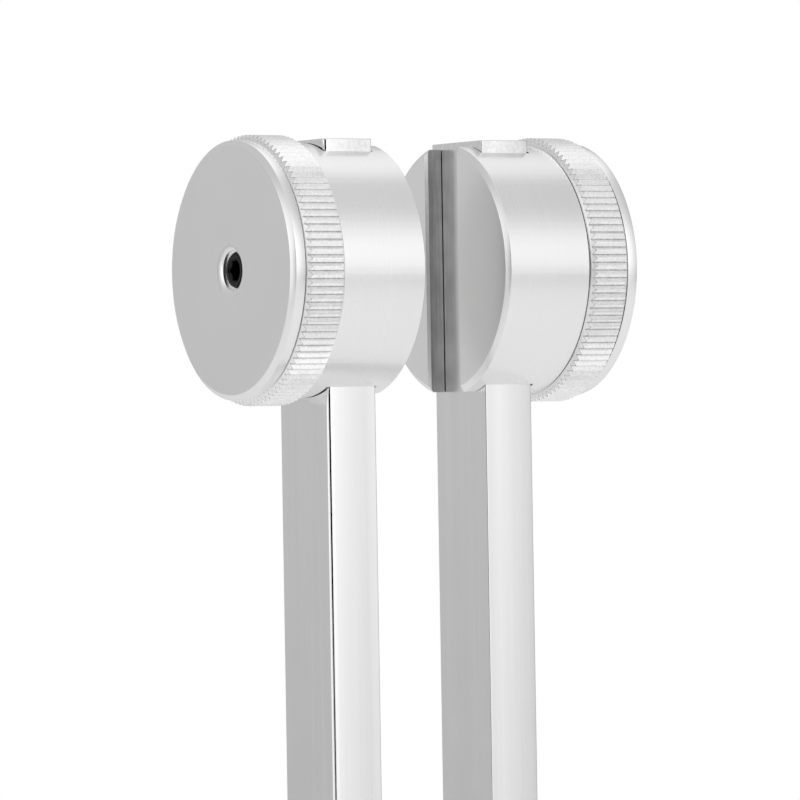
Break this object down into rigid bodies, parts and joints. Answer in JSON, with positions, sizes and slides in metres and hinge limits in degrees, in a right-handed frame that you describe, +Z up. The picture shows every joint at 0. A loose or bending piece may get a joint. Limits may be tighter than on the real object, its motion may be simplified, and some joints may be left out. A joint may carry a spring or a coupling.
{
  "type": "tuning fork",
  "caption": "Weighted aluminium tuning fork with round clamp weights on its prong tips, a turned stem and a flat foot.",
  "frame": {"origin": "centre of the foot's resting face", "axes": "+Z up the stem to the prong tips, +X from the left prong to the right prong, +Y from the prongs' front to their back"},
  "size_m": [0.04, 0.027, 0.2425],
  "materials": {
    "ground_aluminium": "finely ground along the prongs, clear anodised",
    "weight_aluminium": "turned and knurled, clear anodised",
    "turned_aluminium": "turned, clear anodised",
    "black_steel": "black oxide",
    "foot_plastic": "turned black acetal",
    "pad_brass": "turned"
  },
  "bodies": {
    "fork": {"fork_body": "ground_aluminium", "stem": "turned_aluminium", "foot": "foot_plastic", "foot_screw": "black_steel"},
    "left_weight": {"left_weight": "weight_aluminium"},
    "left_pad": {"left_clamp_pad": "pad_brass"},
    "left_screw": {"left_clamp_screw": "black_steel"},
    "right_weight": {"right_weight": "weight_aluminium"},
    "right_pad": {"right_clamp_pad": "pad_brass"},
    "right_screw": {"right_clamp_screw": "black_steel"}
  },
  "joints": [
    {"name": "left_weight_slide", "type": "slide", "parent": "fork", "child": "left_weight", "axis": [0, 0, -1], "range_m": [0, 0.102]},
    {"name": "left_screw_advance", "type": "slide", "parent": "left_weight", "child": "left_pad", "axis": [-1, 0, 0], "range_m": [0, 0.00087]},
    {"name": "left_screw_turn", "type": "hinge", "parent": "left_pad", "child": "left_screw", "pos_m": [-0.016, 0, 0.229], "axis": [-1, 0, 0], "range_deg": [0, 450]},
    {"name": "right_weight_slide", "type": "slide", "parent": "fork", "child": "right_weight", "axis": [0, 0, -1], "range_m": [0, 0.102]},
    {"name": "right_screw_advance", "type": "slide", "parent": "right_weight", "child": "right_pad", "axis": [1, 0, 0], "range_m": [0, 0.00087]},
    {"name": "right_screw_turn", "type": "hinge", "parent": "right_pad", "child": "right_screw", "pos_m": [0.016, 0, 0.229], "axis": [1, 0, 0], "range_deg": [0, 450]}
  ],
  "couplings": [
    {"joint": "left_screw_turn", "follows": "left_screw_advance", "rad_per_m": 8976},
    {"joint": "right_screw_turn", "follows": "right_screw_advance", "rad_per_m": 8976}
  ]
}
